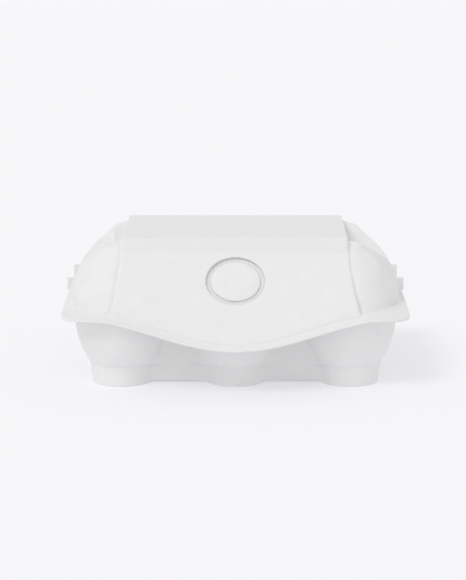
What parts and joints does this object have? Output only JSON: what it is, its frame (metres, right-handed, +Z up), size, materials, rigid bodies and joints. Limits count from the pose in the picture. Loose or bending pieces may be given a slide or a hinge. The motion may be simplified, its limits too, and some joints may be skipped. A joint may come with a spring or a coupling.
{
  "type": "egg carton",
  "caption": "Small moulded egg carton: cupped tray on footed cups, domed lid hinged at the back with a flat label panel, and a press-button latch flap in front.",
  "frame": {"origin": "centre of the carton's footprint on the table", "axes": "+X along the row of three cups, -Y out of the latch side, +Y out of the hinge side, +Z up"},
  "size_m": [0.164, 0.108, 0.067],
  "materials": {
    "pulp": "smooth matte white moulded fibre"
  },
  "bodies": {
    "tray": {"tray": "pulp", "tray_hinge_leaf": "pulp"},
    "lid": {"lid": "pulp", "lid_hinge_leaf": "pulp"},
    "latch": {"latch_flap": "pulp", "latch_button": "pulp"}
  },
  "joints": [
    {"name": "lid_hinge", "type": "hinge", "parent": "tray", "child": "lid", "pos_m": [0, 0.054, 0.032], "axis": [-1, 0, 0], "range_deg": [0, 170]},
    {"name": "latch_fold", "type": "hinge", "parent": "tray", "child": "latch", "pos_m": [0, -0.043, 0.03325], "axis": [-1, 0, 0], "range_deg": [0, 8], "stiffness_Nm_per_rad": 0.03, "springref_deg": -2.86}
  ]
}
